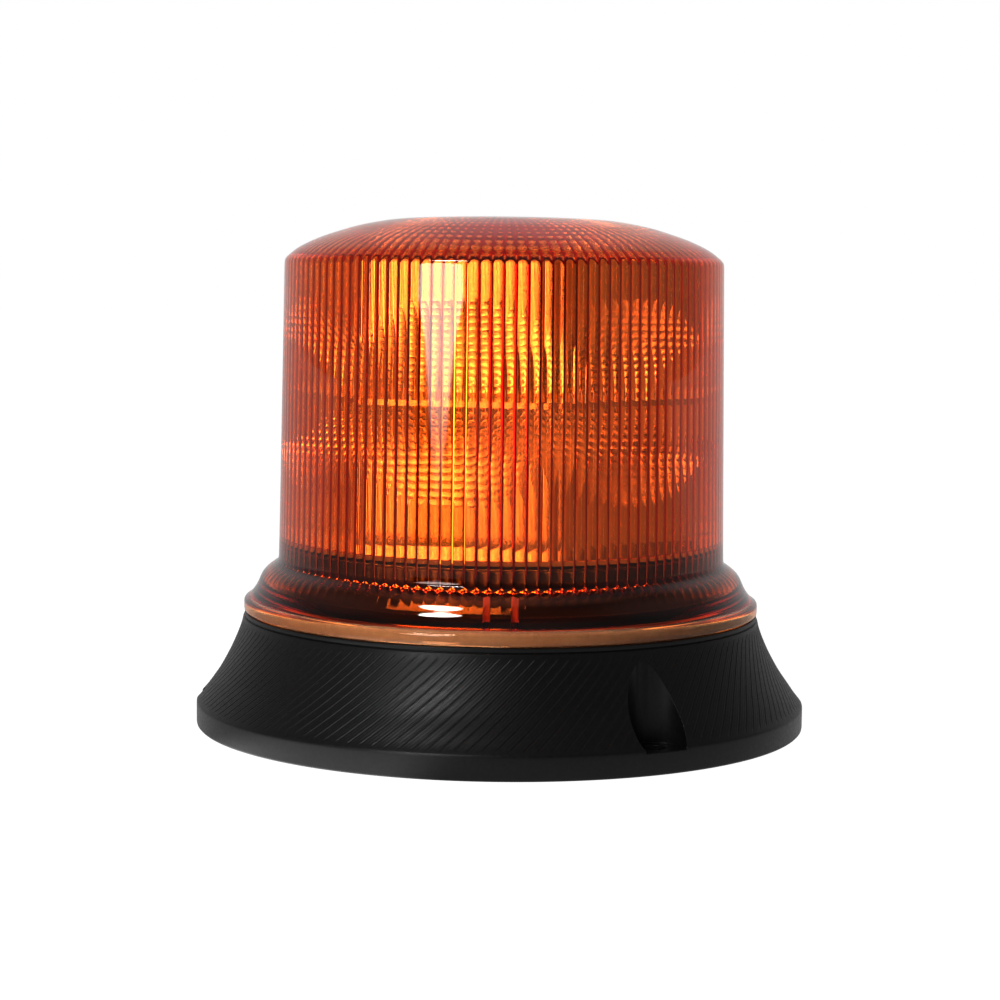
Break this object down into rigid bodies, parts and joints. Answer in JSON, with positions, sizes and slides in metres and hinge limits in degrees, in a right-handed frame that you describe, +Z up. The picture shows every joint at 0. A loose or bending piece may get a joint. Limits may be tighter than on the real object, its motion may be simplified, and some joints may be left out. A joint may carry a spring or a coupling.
{
  "type": "amber warning beacon",
  "caption": "Amber warning beacon with a ribbed twist-lock lens, a six-sided split reflector lit by LEDs, and a black flared base that bolts down flat.",
  "frame": {"origin": "on the axis of the beacon, in the plane of the mounting face", "axes": "+Z up along the axis of the lens, -Y towards the front of the beacon, +X to the right seen from the front"},
  "size_m": [0.1772, 0.1772, 0.1475],
  "materials": {
    "amber_lens": "clear amber polycarbonate, polished outside, fluted inside",
    "black_housing": "satin black moulding with fine slanting grooves",
    "metallised_reflector": "vacuum-metallised mirror with a fine square facet pattern",
    "seal_rubber": "soft matte black rubber",
    "seal_silicone": "light grey silicone",
    "circuit_board_white": "white solder resist on glass-epoxy",
    "circuit_board_green": "green solder resist on glass-epoxy",
    "led_phosphor": "clear dome over a yellow phosphor",
    "component_black": "moulded epoxy package",
    "capacitor_sleeve": "dark shrink sleeve with a bare top",
    "terminal_blue": "moulded nylon",
    "button_white": "satin moulding",
    "cable_jacket": "satin PVC jacket",
    "wire_red": "PVC insulation",
    "wire_black": "PVC insulation",
    "screw_steel": "zinc plated",
    "heat_aluminium": "as machined"
  },
  "bodies": {
    "base": {"base_housing": "black_housing", "bay_cover": "black_housing", "breather_plug": "black_housing", "cable_grommet": "seal_rubber", "cable_tie": "black_housing", "capacitor_1": "capacitor_sleeve", "capacitor_2": "capacitor_sleeve", "controller_chip": "component_black", "cover_screw_1": "screw_steel", "cover_screw_2": "screw_steel", "cover_screw_3": "screw_steel", "driver_board": "circuit_board_green", "driver_screw_1": "screw_steel", "driver_screw_2": "screw_steel", "driver_screw_3": "screw_steel", "engine_screw_1": "screw_steel", "engine_screw_2": "screw_steel", "engine_screw_3": "screw_steel", "heat_column": "heat_aluminium", "inductor": "component_black", "led_board": "circuit_board_white", "led_bottom_1": "led_phosphor", "led_bottom_2": "led_phosphor", "led_bottom_3": "led_phosphor", "led_bottom_4": "led_phosphor", "led_bottom_5": "led_phosphor", "led_bottom_6": "led_phosphor", "led_lead_black": "wire_black", "led_lead_red": "wire_red", "led_top_1": "led_phosphor", "led_top_2": "led_phosphor", "led_top_3": "led_phosphor", "led_top_4": "led_phosphor", "led_top_5": "led_phosphor", "led_top_6": "led_phosphor", "mounting_gasket": "seal_rubber", "pattern_switch": "component_black", "power_transistor_1": "component_black", "power_transistor_2": "component_black", "reflector_lower": "metallised_reflector", "reflector_upper": "metallised_reflector", "supply_cable": "cable_jacket", "supply_wire_black": "wire_black", "supply_wire_red": "wire_red", "terminal_block": "terminal_blue"},
    "lens": {"lens": "amber_lens", "lens_seal": "seal_silicone"},
    "button": {"pattern_button": "button_white"}
  },
  "joints": [
    {"name": "lens_twist", "type": "hinge", "parent": "base", "child": "lens", "pos_m": [0, 0, 0.032], "axis": [0, 0, 1], "range_deg": [0, 22]},
    {"name": "pattern_button_press", "type": "slide", "parent": "base", "child": "button", "axis": [0, 0, -1], "range_m": [0, 0.0008], "stiffness_N_per_m": 2000}
  ]
}
